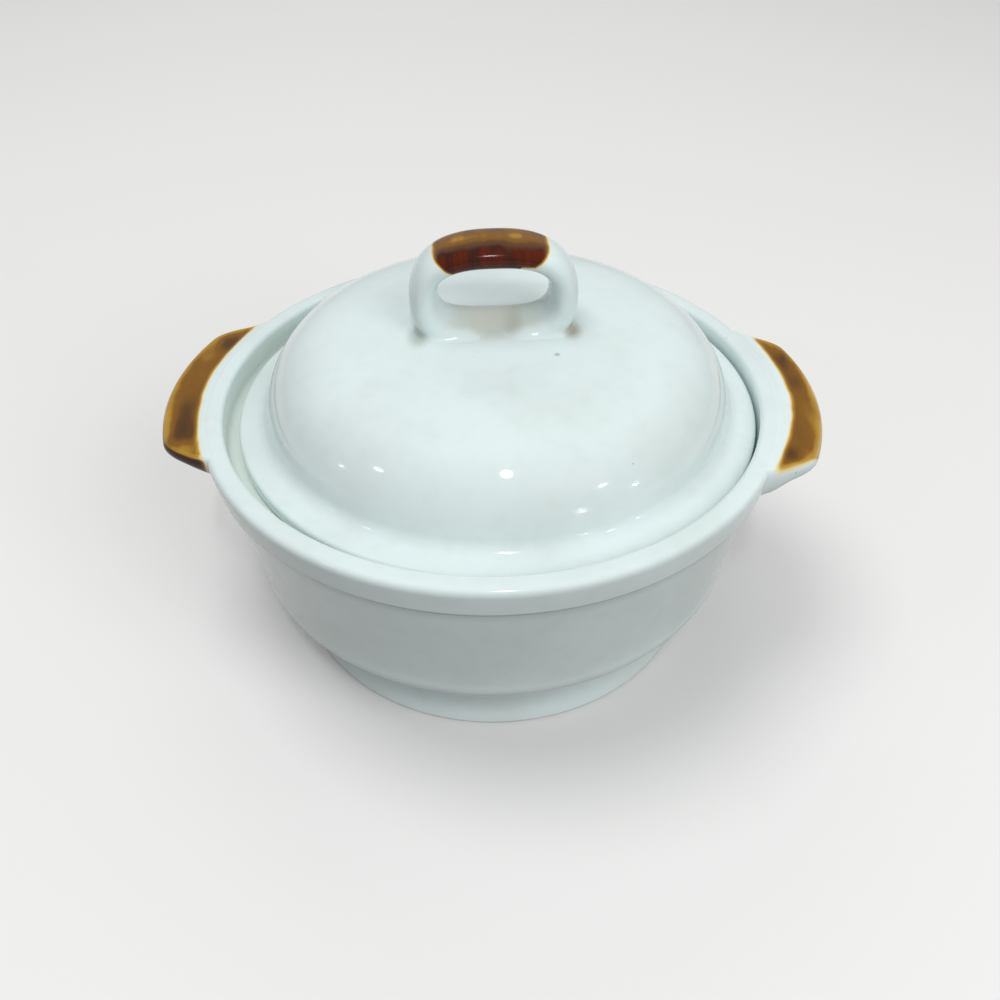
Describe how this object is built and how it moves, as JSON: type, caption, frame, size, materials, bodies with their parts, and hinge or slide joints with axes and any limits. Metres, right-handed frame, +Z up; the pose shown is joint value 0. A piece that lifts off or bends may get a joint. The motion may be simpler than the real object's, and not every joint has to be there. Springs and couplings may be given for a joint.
{
  "type": "lidded bowl",
  "caption": "Round glazed stoneware soup bowl on a foot ring, with flat lug handles at the rim and a domed lid that sits on a sunk ledge and lifts off by its strap loop.",
  "frame": {"origin": "on the table, on the axis of the bowl", "axes": "+Z up along the axis of the bowl, +X through the right lug handle, -Y towards the viewer"},
  "size_m": [0.1476, 0.1294, 0.0966],
  "materials": {
    "white_glaze": "gloss off-white glaze",
    "amber_glaze": "gloss amber-brown glaze that breaks to gold at the edges"
  },
  "bodies": {
    "bowl": {"bowl": "white_glaze", "left_lug_handle": "amber_glaze", "right_lug_handle": "amber_glaze"},
    "lid": {"lid": "white_glaze", "lid_loop_handle": "white_glaze"}
  },
  "joints": [
    {"name": "lid_lift", "type": "slide", "parent": "bowl", "child": "lid", "axis": [0, 0, 1], "range_m": [0, 0.09]}
  ]
}
